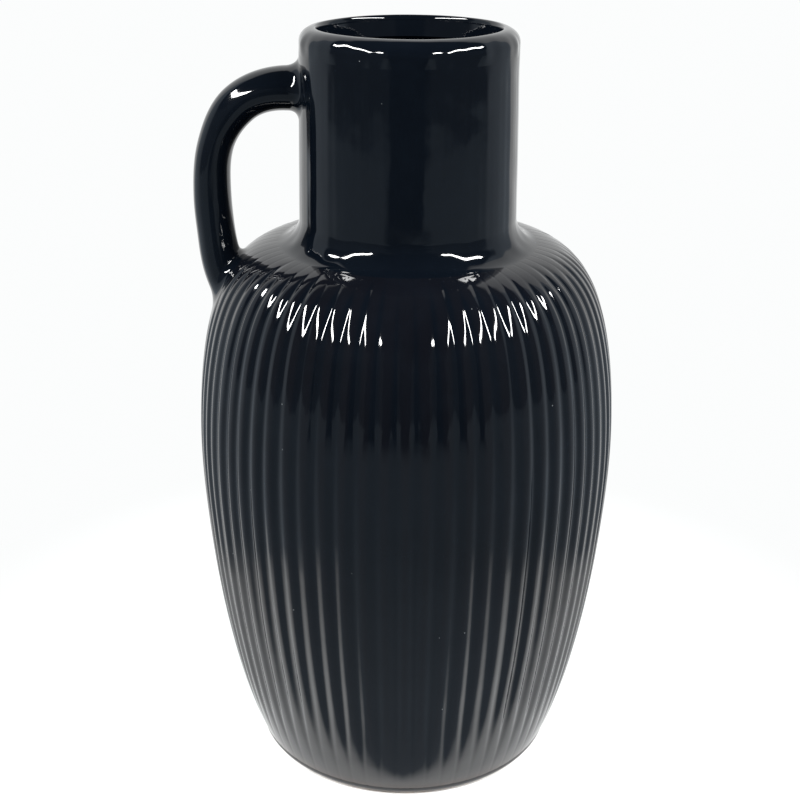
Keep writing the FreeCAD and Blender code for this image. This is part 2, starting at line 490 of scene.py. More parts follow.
@dataclass(frozen=True)
class Mottle:
    """Soft cloudy unevenness of colour, as in a thick dark glaze. Scales are per metre."""

    broad_scale: float = 16.0
    broad_range: Pair = (0.35, 0.7)
    fine_scale: float = 170.0
    fine_range: Pair = (0.4, 0.75)
    fine_share: float = 0.3

    def group(self) -> Tree:
        """Make the mottle's node group.

        Returns:
            The group, with a Cloud mask from 0 to 1.
        """
        group, _, result = new_group("glaze_mottle", {}, {"Cloud": "NodeSocketFloat"})
        wire = Wiring(group)
        where = wire.places()[0]
        broad = wire.spread(wire.noise(where, self.broad_scale, 3.0), *self.broad_range)
        fine = wire.spread(wire.noise(where, self.fine_scale, 3.0), *self.fine_range)
        broad, fine = wire.times(broad, 1.0 - self.fine_share), wire.times(fine, self.fine_share)
        wire.join(wire.plus(broad, fine), result["Cloud"])
        return group


@dataclass(frozen=True)
class BlackGlaze:
    """Thick, glossy, blue-black glaze that breaks brown where it runs thin; its pinholes are
    painted pale as glints.
    """

    deep: Triple = (0.0013, 0.0022, 0.0040)
    cloud: Triple = (0.0022, 0.0036, 0.0060)
    brown: Triple = (0.055, 0.026, 0.012)
    # Pale colour of the pinholes: a painted glint, as of a lamp caught in each.
    speck_and_glint: Triple = (0.12, 0.13, 0.13)
    gloss: float = 0.045
    cloud_roughness: float = 0.02
    thin_roughness: float = 0.25
    index: float = 1.43
    flow: float = 0.00022
    peel: float = 0.000022

    def material(self, name: str, skin: Tree, mottle: Tree) -> Material:
        """Make the glaze's material.

        Args:
            name: The material's name.
            skin: The glaze skin group.
            mottle: The mottle group.

        Returns:
            The material.
        """
        made, wire, shader = new_material(name)
        clouds = wire.node("ShaderNodeGroup", node_tree=mottle).outputs["Cloud"]
        colour = wire.blend(clouds, self.deep, self.cloud)
        thin = wire.node("ShaderNodeAttribute", attribute_name=THIN, attribute_type="GEOMETRY")
        colour = wire.blend(thin.outputs["Fac"], colour, self.brown)
        surface = wire.node("ShaderNodeGroup", node_tree=skin)
        surface.inputs["Flow"].default_value = self.flow
        surface.inputs["Peel"].default_value = self.peel
        wire.bump(surface.outputs["Height"], shader)
        # Painted glints: the pinholes take the pale colour.
        colour = wire.blend(surface.outputs["Pinhole Glints"], colour, self.speck_and_glint)
        wire.join(colour, shader.inputs["Base Color"])
        rough = wire.plus(wire.times(clouds, self.cloud_roughness), self.gloss)
        rough = wire.plus(rough, wire.times(thin.outputs["Fac"], self.thin_roughness))
        wire.join(rough, shader.inputs["Roughness"])
        shader.inputs["IOR"].default_value = self.index
        return made


@dataclass(frozen=True)
class FootFinish:
    """Bare stoneware under the foot, with the glaze wiped off above it.

    The glaze ends at wipe_line above the floor and is thin and brown for a little way up.
    Lengths are in metres and scales per metre.
    """

    clay: Triple = (0.23, 0.165, 0.115)
    grog: Triple = (0.12, 0.08, 0.055)
    clay_roughness: float = 0.85
    grog_scale: float = 900.0
    grog_range: Pair = (0.58, 0.68)
    grain_scale: float = 1300.0
    grain: float = 0.00006
    wipe_line: float = 0.0011
    wipe_below: float = 0.0001
    wipe_above: float = 0.0002
    wobble: float = 0.0011
    wobble_scale: float = 45.0
    brown_run: float = 0.0012
    glaze: BlackGlaze = field(default_factory=BlackGlaze)

    def material(self, name: str, skin: Tree) -> Material:
        """Make the foot's material.

        Args:
            name: The material's name.
            skin: The glaze skin group.

        Returns:
            The material.
        """
        made, wire, shader = new_material(name)
        where, _, _, high = wire.places()
        uneven = wire.less(wire.noise(where, self.wobble_scale, 3.0), 0.5)
        height = wire.plus(high, wire.times(uneven, self.wobble))
        line = self.wipe_line
        glazed = wire.spread(height, line - self.wipe_below, line + self.wipe_above)
        thick = wire.spread(height, line, line + self.brown_run)
        # Specks of grog in the bare clay.
        speck_and_glint = wire.spread(wire.noise(where, self.grog_scale, 2.0), *self.grog_range)
        clay = wire.blend(speck_and_glint, self.clay, self.grog)
        glaze = wire.blend(thick, self.glaze.brown, self.glaze.deep)
        wire.join(wire.blend(glazed, clay, glaze), shader.inputs["Base Color"])
        smoother = wire.times(glazed, self.clay_roughness - self.glaze.gloss)
        wire.join(wire.less(self.clay_roughness, smoother), shader.inputs["Roughness"])
        surface = wire.node("ShaderNodeGroup", node_tree=skin)
        grain = wire.times(wire.noise(where, self.grain_scale, 4.0, 0.7), self.grain)
        bare = wire.times(wire.less(1.0, glazed), grain)
        wire.bump(wire.plus(surface.outputs["Height"], bare), shader)
        shader.inputs["IOR"].default_value = self.glaze.index
        return made


@dataclass
class BellyOutline:
    """Outline of the belly over the crests of its ribs, from the foot to the neck joint."""

    foot: Pair = (59.2, 3.8)
    joint: Pair = (47.498, 203.7)
    widest: float = 78.6
    side: Table = (
        (0.287, 0.081),
        (0.571, 0.201),
        (0.801, 0.341),
        (0.939, 0.481),
        (1.0, 0.611),
    )
    shoulder: Table = (
        (0.965, 0.731),
        (0.884, 0.821),
        (0.764, 0.8915),
        (0.6285, 0.9365),
        (0.462, 0.968),
        (0.270, 0.988),
    )
    foot_lean: float = 0.42
    joint_slope: float = 10.0

    def path(self, count: int = 4000) -> Array:
        """Sample the outline finely: the smooth curve through its named places.

        Args:
            count: How many samples.

        Returns:
            Radius and height of each sample.
        """
        low, rise = self.foot[1], self.joint[1] - self.foot[1]
        points = [self.foot]
        for inner, table in ((self.foot[0], self.side), (self.joint[0], self.shoulder)):
            points += [(inner + out * (self.widest - inner), low + up * rise) for out, up in table]
        points.append(self.joint)
        slope = math.radians(self.joint_slope)
        end = (-math.cos(slope), math.sin(slope))
        return spline_through(np.array(points), (self.foot_lean, 1.0), end, count)


@dataclass
class Belly:
    """The ribbed belly: a turned wall with grooves cut down it by hand."""

    outline: BellyOutline = field(default_factory=BellyOutline)
    wall: float = 6.0
    floor_radius: float = 53.2
    floor_top: float = 8.8
    land: Pair = (47.998, 197.643)
    lining_gap: float = 4.0
    lining_stride: int = 60
    ribs: int = 68
    rib_columns: int = 10
    depth: float = 0.86
    crest_power: float = 1.15
    sway: float = 0.05
    sway_run: float = 60.0
    depth_scatter: float = 0.10
    top_scatter: float = 2.4
    foot_scatter: float = 0.6
    foot_gap: float = 3.0
    foot_run: float = 45.0
    top_gap: float = 5.0
    arch_run: float = 13.0
    top_run: float = 105.0
    arch_share: float = 0.56
    arch_cut: float = 0.9
    calm_angle: float = 13.0
    calm_share: float = 0.85
    rows: int = 98
    top_crowd: Triple = (1.6, 26.0, 22.0)
    foot_crowd: Pair = (1.2, 14.0)
    lining_rows: int = 28
    root: float = 190.8
    root_half_width: float = 13.8
    root_half_length: float = 18.6
    root_run: float = 6.0
    crest_share: float = 0.35
    crest_thin: float = 0.02
    foot_thin: float = 0.5
    foot_thin_run: float = 2.2

    def rows_along(self, length: float) -> Array:
        """Places of the rows along the outline, closer where the grooves run out.

        Args:
            length: The outline's length.

        Returns:
            Lengths from the foot, from 0 to the whole length.
        """
        fine = np.linspace(0.0, length, 2000)
        more, middle, run = self.top_crowd
        crowd = 1.0 + more * np.exp(-(((fine - length + middle) / run) ** 2))
        more, run = self.foot_crowd
        crowd += more * np.exp(-((fine / run) ** 2))
        count = np.r_[0.0, np.cumsum(0.5 * (crowd[1:] + crowd[:-1]))]
        places = np.interp(np.linspace(0.0, count[-1], self.rows - 1), count, fine)
        return np.sort(np.r_[places, CLOSE, length - CLOSE])

    def groove(self, angle: Array, place: Array, radius: Array, length: float) -> Array:
        """Depth of the grooves by row and column.

        Across a rib the depth goes as half of one less the cosine, from crest to crest.
        A lift takes some of it away near both ends, so that each groove also narrows
        there and ends in a round arch. Each groove is a little deeper or shallower,
        longer or shorter than the next, and wanders a little to the side. The arches are
        fainter within calm_angle degrees of the front. Round the handle's lower end the
        grooves run out.

        Args:
            angle: Angle of each column.
            place: Length along the outline of each row.
            radius: Radius of each row.
            length: The outline's length.

        Returns:
            Depths in millimetres.
        """
        random = np.random.default_rng(41)
        turn_share = angle / (2 * math.pi) * self.ribs
        rib = np.floor(turn_share).astype(int) % self.ribs
        sway = random.normal(0.0, self.sway, (2, self.ribs + 1))
        sway[:, -1] = sway[:, 0]
        across = turn_share - np.floor(turn_share)
        shift = sway[:, rib] * (1 - across) + sway[:, (rib + 1)] * across
        along = (place / self.sway_run)[:, None]
        wander = shift[0] * np.cos(along) + shift[1] * np.sin(along)
        section = 0.5 - 0.5 * np.cos(2 * math.pi * (across + wander * np.sin(math.pi * across)))
        section = section**self.crest_power
        deep = self.depth * (1.0 + random.normal(0.0, self.depth_scatter, self.ribs))[rib]
        top_end = length - self.top_gap + random.normal(0.0, self.top_scatter, self.ribs)[rib]
        foot_end = self.foot_gap + random.normal(0.0, self.foot_scatter, self.ribs)[rib]
        to_top = top_end - place[:, None]
        ahead = np.arctan2(np.cos(angle), -np.sin(angle)) / math.radians(self.calm_angle)
        arch_share = self.arch_share * (1.0 - self.calm_share * np.exp(-(ahead**2)))
        top = arch_share * smooth_step(to_top / self.arch_run)
        top += (1.0 - arch_share) * smooth_step(to_top / self.top_run)
        low = smooth_step((place[:, None] - foot_end) / self.foot_run)
        side = radius[:, None] * np.arctan2(-np.sin(angle), -np.cos(angle))
        above = (place[:, None] - self.root) / self.root_half_length
        away = np.hypot(side / self.root_half_width, above)
        root = smooth_step((away - 1.0) * self.root_half_width / self.root_run)
        share = top * low * root
        carved = np.maximum(section - (1.0 - share) * self.arch_cut, 0.0)
        return deep * (0.5 * section * share + 0.5 * carved)

    def lining(self, path: Array) -> Array:
        """The wall's inside, from the joint face down to the floor and the foot.

        Args:
            path: The outline, finely sampled.

        Returns:
            Radius and height of each row.
        """
        inner = path - normals_beside(path) * self.wall
        height = inner[:, 1]
        high, low = self.land[1] - self.lining_gap, self.floor_top + self.wall
        inner = inner[(height > low) & (height < high)][:: self.lining_stride]
        inner = np.vstack([[self.floor_radius, self.floor_top], inner, [self.land]])[::-1]
        inner = read_at(inner, np.linspace(0.0, lengths_along(inner)[-1], self.lining_rows))
        return np.vstack([inner, [(self.floor_radius, self.outline.foot[1])]])

    def build(self) -> Piece:
        """Make the belly: outside up, joint face, lining down, and back along the foot.

        Returns:
            The piece.
        """
        path = self.outline.path()
        length = lengths_along(path)[-1]
        place = self.rows_along(length)
        outside = read_at(path, place)
        outward = normals_beside(outside)
        angle = circle_of(self.ribs * self.rib_columns)
        depth = self.groove(angle, place, outside[:, 0], length)
        radius = outside[:, :1] - outward[:, :1] * depth
        height = outside[:, 1:] - outward[:, 1:] * depth
        rest = self.lining(path)
        columns = len(angle)
        radius = np.vstack([radius, np.repeat(rest[:, :1], columns, axis=1)])
        height = np.vstack([height, np.repeat(rest[:, 1:], columns, axis=1)])
        faces = grid_faces(len(radius), columns, True)
        thin = np.zeros(radius.shape)
        crest = np.clip(1.0 - depth / (self.crest_share * self.depth), 0.0, 1.0)
        edge = np.exp(-place / self.foot_thin_run)[:, None]
        thin[: len(place)] = self.crest_thin * crest + self.foot_thin * edge
        return make_piece("ribbed_belly", turn(radius, height, angle), [faces], thin)


@dataclass
class Neck:
    """The neck with its flared lower end.

    The wall is a little fluted by hand, and the seam over the shoulder rises and falls.
    """

    base_radius: float = 39.4
    top_radius: float = 38.5
    wall: float = 6.0
    fillet: float = 9.8
    fillet_height: float = 213.351
    joint: Pair = (47.498, 203.7)
    joint_low: float = 197.643
    seat: float = 271.0
    slope: float = 10.0
    close_angle: float = 0.4
    ripple: float = 0.11
    fluting: float = 0.026
    flutes: Waves = (
        (1.0, 17, 0.0, 1 / 30),
        (0.7, 29, 1.0, 0.0),
        (0.5, 53, 0.6, 0.0),
        (0.5, 71, 0.0, 1 / 60),
    )
    joint_fade: float = 12.0
    seat_fade: float = 6.0
    seam_rise: float = 0.32
    seam_waves: Waves = ((0.5, 9, 0.4, 0.0), (0.3, 16, 2.0, 0.0), (0.25, 27, 1.1, 0.0))
    seam_fade: float = 3.0
    seam_end: float = 222.0
    seam_run: float = 8.0
    columns: int = 340

    def profile(self) -> Array:
        """The neck's section: flare and outside up, inside down, and back up the joint face.

        Returns:
            Radius and height of each row.
        """
        centre = (self.base_radius + self.fillet, self.fillet_height)
        reach = self.fillet + self.wall
        low = math.degrees(math.asin((self.joint_low - centre[1]) / reach))
        inner_base = self.base_radius - self.wall
        inner_top = self.top_radius - self.wall
        flare = bend(centre, self.fillet, 270.0 - self.slope, 180.0, 30)
        first = 270.0 - self.slope - self.close_angle
        return np.vstack(
            [
                flare[:1],
                bend(centre, self.fillet, first, first - 0.1, 1),
                flare[1:],
                straight((self.base_radius, centre[1]), (self.top_radius, self.seat), 36),
                straight((self.top_radius, self.seat), (inner_top, self.seat), 2),
                straight((inner_top, self.seat), (inner_base, centre[1]), 14),
                bend(centre, reach, 180.0, 180.0 - low, 14),
                straight((self.joint[0], self.joint_low), self.joint, 2),
            ]
        )

    def build(self) -> Piece:
        """Make the neck.

        Returns:
            The piece.
        """
        radius, height = self.profile().T
        angle = circle_of(self.columns)
        above = height - self.joint[1]
        fade = smooth_step(above / self.joint_fade)
        fade *= smooth_step((self.seat - height) / self.seat_fade)
        stray = ripple(angle, height, self.ripple, 3)
        stray = (stray + self.fluting * waves_round(angle, height, self.flutes)) * fade[:, None]
        seam = smooth_step(above / self.seam_fade)
        seam *= self.seam_rise * smooth_step((self.seam_end - height) / self.seam_run)
        rise = seam[:, None] * waves_round(angle, height, self.seam_waves)
        radius, height = radius[:, None] + stray, height[:, None] + rise
        return turned_piece("glazed_neck", radius, height, self.columns)


@dataclass
class Lip:
    """The thick rounded rim, which thins down to the neck inside.

    The rim lies a little under its full height, so that its unevenness stays within it.
    """

    neck_radius: float = 38.5
    thickness: float = 7.2
    seat: float = 271.0
    top: float = 280.0
    wall: float = 6.0
    outer_share: float = 0.75
    inner_round: Pair = (1.0, 1.9)
    throat: float = 1.4
    ripple: float = 0.09
    sink: float = 0.18
    seat_fade: float = 4.0
    edge_rise: float = 0.2
    edge_waves: Waves = ((0.6, 13, 0.7, 0.0), (0.45, 22, 1.9, 0.0), (0.3, 35, 0.0, 0.0))
    columns: int = 340

    def build(self) -> Piece:
        """Make the rim: outside up, two rounds over the top, throat down and back.

        Returns:
            The piece.
        """
        outer = self.thickness * self.outer_share
        mouth = self.neck_radius - self.thickness
        crest = self.neck_radius - outer
        inside = self.neck_radius - self.wall
        shoulder = self.top - outer
        across, down = self.inner_round
        angle = np.radians(np.linspace(90.0, 180.0, 13))[:-1]
        inner_round = np.c_[across * np.cos(angle), down * np.sin(angle)] + [crest, self.top - down]
        profile = np.vstack(
            [
                straight((self.neck_radius, self.seat), (self.neck_radius, shoulder), 3),
                bend((crest, shoulder), outer, 0.0, 90.0, 18),
                inner_round,
                straight((crest - across, self.top - down), (mouth, self.seat + self.throat), 5),
                straight((mouth, self.seat + self.throat), (inside, self.seat), 3),
                straight((inside, self.seat), (self.neck_radius, self.seat), 2),
            ]
        )
        radius, height = profile[:, :1], profile[:, 1:]
        angle = circle_of(self.columns)
        fade = smooth_step((height - self.seat) / self.seat_fade)
        stray = (ripple(angle, np.zeros(1), self.ripple, 8) - self.sink) * fade
        bulge = np.sin(math.pi * (height - self.seat) / (self.top - self.seat)) * (radius > crest)
        waves = waves_round(angle, height[:, 0], self.edge_waves) * self.edge_rise
        return turned_piece("rounded_lip", radius + bulge * waves, height + stray, self.columns)


@dataclass
class Foot:
    """The ring that the jug stands on, with the rounded edge of the base."""

    radius: float = 59.2
    height: float = 3.8
    flat: float = 8.0
    chamfer: float = 0.8
    columns: int = 340

    def build(self) -> Piece:
        """Make the ring: rounded edge up, top in, bore down and flat out.

        Returns:
            The piece.
        """
        edge = self.radius - self.height
        bore = edge - self.flat - self.chamfer
        profile = np.vstack(
            [
                bend((edge, self.height), self.height, -90.0, -1.0, 20),
                bend((edge, self.height), self.height, -1.0, 0.0, 1),
                straight((self.radius, self.height), (bore, self.height), 3),
                straight((bore, self.height), (bore, self.chamfer), 2),
                straight((bore, self.chamfer), (bore + self.chamfer, 0.0), 2),
                straight((bore + self.chamfer, 0.0), (edge, 0.0), 4),
            ]
        )
        return turned_piece("foot_edge", *profile.T, self.columns)


@dataclass
class Floor:
    """The disc that closes the bottom, glazed on top."""

    radius: float = 53.2
    low: float = 3.8
    top: float = 8.8
    rings: int = 14
    middle_share: float = 0.02
    columns: int = 136

    def build(self) -> Piece:
        """Make the disc: underside out, rim up and top in, with a fan in each middle.

        Returns:
            The piece.
        """
        share = np.linspace(1.0, self.middle_share, self.rings)
        top = np.c_[self.radius * share, np.full(len(share), self.top)]
        under = np.c_[self.radius * share[::-1], np.full(len(share), self.low)]
        points = turn(*np.vstack([under, top]).T, circle_of(self.columns)).reshape(-1, 3)
        faces = grid_faces(2 * len(share), self.columns)
        last = len(points) - self.columns
        fans = [fan(0, self.columns, len(points), True), fan(last, self.columns, len(points) + 1)]
        points = np.vstack([points, [(0, 0, self.low)], [(0, 0, self.top)]])
        return make_piece("jug_floor", points, [faces, *fans])


@dataclass
class Handle:
    """The handle, a bar of oval section that springs from the neck and comes down on the shoulder.

    The bar's unevenness is two waves that run round and along it.
    """

    neck: Neck = field(default_factory=Neck)
    outline: BellyOutline = field(default_factory=BellyOutline)
    top_height: float = 258.15
    root: Pair = (67.155, 190.877)
    start_radius: float = 35.7
    start_way: Pair = (1.0, 0.09)
    end_way: Pair = (-0.42, -1.0)
    neck_radius: float = 38.70
    thickness: float = 13.8
    width: float = 18.0
    line_shares: Table = (
        (0.30, 1.000),
        (0.65, 0.950),
        (0.92, 0.835),
        (1.07, 0.690),
        (1.13, 0.460),
        (1.10, 0.220),
        (1.00, 0.000),
        (0.85, -0.150),
    )
    thickness_shares: Table = ((0.0, 1.14), (0.25, 1.06), (0.42, 0.94), (0.70, 1.00), (1.0, 1.12))
    width_shares: Table = ((0.0, 1.16), (0.25, 1.02), (0.60, 1.00), (1.0, 1.14))
    uneven: float = 0.004
    rows: int = 150
    columns: int = 72
    cap_share: float = 0.02
    search: dict[Side, Pair] = field(
        default_factory=lambda: {Side.NECK: (0.0, 0.32), Side.SHOULDER: (1.0, 0.62)}
    )
    slip_rows: int = 16
    slip_reach: float = 4.2
    slip_pull: float = 0.62
    slip_tuck: float = 0.5
    slip_edge: float = 0.25
    slip_sink: float = 0.03
    slip_core: float = 1.2
    slip_overlap: float = 0.995

    def centre_line(self) -> Array:
        """Sample the handle's centre line finely.

        Returns:
            Radius towards the handle's side and height of each sample.
        """
        span = self.root[0] - self.neck_radius
        rise = self.top_height - self.root[1]
        points = np.array(self.line_shares) * [span, rise] + [self.neck_radius, self.root[1]]
        points = np.vstack([[self.start_radius, self.top_height], points])
        return spline_through(points, self.start_way, self.end_way, 3000)

    def bar(self, share: Array, angle: Array) -> Array:
        """Points on the bar.

        The section is an oval square to the centre line: across by half the width times
        the cosine of the angle, and outward by half the thickness times its sine.

        Args:
            share: Share of the centre line's length for each row, or for each row and column.
            angle: Angle round the section of each column.

        Returns:
            Points by row and column.
        """
        line = self.centre_line()
        along = lengths_along(line)
        way = unit(np.gradient(line, axis=0))
        share = share if share.ndim == 2 else share[:, None]
        share = np.broadcast_to(share, (len(share), len(angle)))
        place = share * along[-1]
        centre = [np.interp(place, along, column) for column in line.T]
        tangent = [np.interp(place, along, column) for column in way.T]
        thick = 0.5 * self.thickness * self.eased(self.thickness_shares, share)
        wide = 0.5 * self.width * self.eased(self.width_shares, share)
        lift = thick * np.sin(angle)[None, :]
        out = centre[0] - tangent[1] * lift
        up = centre[1] + tangent[0] * lift
        return np.stack([-out, wide * np.cos(angle)[None, :], up], axis=-1)

    @staticmethod
    def eased(table: Table, place: Array) -> Array:
        """Read a table of shares, easing between its rows.

        Args:
            table: Places from 0 to 1 and the share at each.
            place: Where to read it.

        Returns:
            The shares there.
        """
        starts = np.array([row[0] for row in table])
        values = np.array([row[1] for row in table])
        left = np.clip(np.searchsorted(starts, place, side="right") - 1, 0, len(table) - 2)
        t = smooth_step((place - starts[left]) / (starts[left + 1] - starts[left]))
        return values[left] + (values[left + 1] - values[left]) * t

    def build(self) -> Piece:
        """Make the bar with a closed cap inside each wall.

        Returns:
            The piece.
        """
        angle = circle_of(self.columns)
        share = np.linspace(0.0, 1.0, self.rows)
        points = self.bar(share, angle)
        phase = np.random.default_rng(5).uniform(0, 6.28, 4)
        wave = waves_round(angle, share, ((1.0, 2, phase[0], 21), (0.6, -1, phase[1], 37)))
        middle = points.mean(axis=1, keepdims=True)
        points = middle + (points - middle) * (1.0 + self.uneven * wave[..., None])
        caps = [middle[end] + (points[end] - middle[end]) * self.cap_share for end in (0, -1)]
        points = np.concatenate([caps[0][None], points, caps[1][None]])
        faces = grid_faces(len(points), self.columns)[:, ::-1]
        points = points.reshape(-1, 3)
        last = len(points) - self.columns
        fans = [fan(0, self.columns, len(points)), fan(last, self.columns, len(points) + 1, True)]
        ends = [points[: self.columns].mean(axis=0), points[last:].mean(axis=0)]
        points = np.vstack([points, *ends])
        return make_piece("side_handle", points, [faces, *fans], crease=50.0)

    def corner_shares(self, side: Side, angle: Array, outline: Array) -> Array:
        """Where each line along the bar comes out of the wall.

        A point of the bar is outside where its radius is more than the wall's at its height.

        Args:
            side: Which end of the bar.
            angle: Angle round the section of each line.
            outline: The wall, as radius and height.

        Returns:
            Share of the centre line's length for each line.
        """
        fine = np.linspace(*self.search[side], 700)
        points = self.bar(fine, angle)
        order = np.argsort(outline[:, 1])
        wall = np.interp(points[..., 2], outline[order, 1], outline[order, 0])
        gap = np.hypot(points[..., 0], points[..., 1]) - wall
        first = np.argmax(gap > 0.0, axis=0)
        column = np.arange(self.columns)
        before, after = gap[first - 1, column], gap[first, column]
        mix = before / (before - after)
        return fine[first - 1] + mix * (fine[first] - fine[first - 1])

    def collar(self, side: Side) -> Piece:
        """Make the fillet of slip round one end of the bar.

        For each angle round the bar, the line along the bar meets the wall at a corner.
        The fillet is the cubic curve from a point on the bar to a point on the wall, each
        slip_reach from that corner, which leaves the bar along it and lands flat on the wall.

        Args:
            side: Which end.

        Returns:
            The piece.
        """
        angle = circle_of(self.columns)
        outline = self.wall_path(side)
        corner_share = self.corner_shares(side, angle, outline)
        sign = 1.0 if side is Side.NECK else -1.0
        step = sign / lengths_along(self.centre_line())[-1]
        reach = self.slip_reach

        def past(more: float) -> Array:
            """Points on the bar, this many millimetres past the corner."""
            return self.bar((corner_share + step * more)[None, :], angle)[0]

        corner, on_bar = past(0.0), past(reach)
        leave = unit(on_bar - past(reach + 0.2))
        _, normal = self.onto(corner, outline)
        spoke = unit(flattened(corner - corner.mean(axis=0), normal))
        on_wall, _ = self.onto(corner + spoke * reach, outline)
        _, land_normal = self.onto(on_wall, outline)
        land = unit(flattened(spoke, land_normal))
        pull = self.slip_pull * reach
        t = np.linspace(0.0, 1.0, self.slip_rows)[:, None, None]
        second, third = on_bar + leave * pull, on_wall - land * pull
        sheet = (1 - t) ** 3 * on_bar + 3 * t * (1 - t) ** 2 * second
        sheet += 3 * t**2 * (1 - t) * third + t**3 * on_wall
        sunk, _ = self.onto(on_wall + land * self.slip_edge, outline)
        sunk -= land_normal * self.slip_sink
        inside = 0.5 * (corner + corner.mean(axis=0)) - normal * self.slip_core
        under = past(reach + self.slip_tuck)
        centre = under.mean(axis=0)
        under = centre + (under - centre) * self.slip_overlap
        points = np.concatenate([under[None], sheet, sunk[None], inside[None]])
        faces = grid_faces(len(points), self.columns, True)
        if side is Side.SHOULDER:
            faces = faces[:, ::-1]
        return make_piece(f"handle_{side.value}_slip", points, [faces], crease=60.0)

    def wall_path(self, side: Side) -> Array:
        """Read the wall that an end of the handle meets.

        Args:
            side: Which end.

        Returns:
            Radius and height of each sample.
        """
        if side is Side.SHOULDER:
            return self.outline.path()
        neck = self.neck
        height = np.linspace(neck.fillet_height, neck.seat, 600)
        share = (height - neck.fillet_height) / (neck.seat - neck.fillet_height)
        radius = neck.base_radius + share * (neck.top_radius - neck.base_radius)
        return np.stack([radius, height], axis=-1)

    @staticmethod
    def onto(points: Array, outline: Array) -> tuple[Array, Array]:
        """Find the wall next to some points.

        Args:
            points: The points, one row each.
            outline: The wall, as radius and height.

        Returns:
            The nearest points of the wall, and its outward unit normals there.
        """
        radius = np.hypot(points[:, 0], points[:, 1])[:, None]
        away = (radius - outline[None, :, 0]) ** 2 + (points[:, 2:] - outline[None, :, 1]) ** 2
        nearest = np.argmin(away, axis=1)
        out = points[:, :2] / radius
        spot, normal = outline[nearest], normals_beside(outline)[nearest]
        return np.c_[out * spot[:, :1], spot[:, 1]], np.c_[out * normal[:, :1], normal[:, 1]]


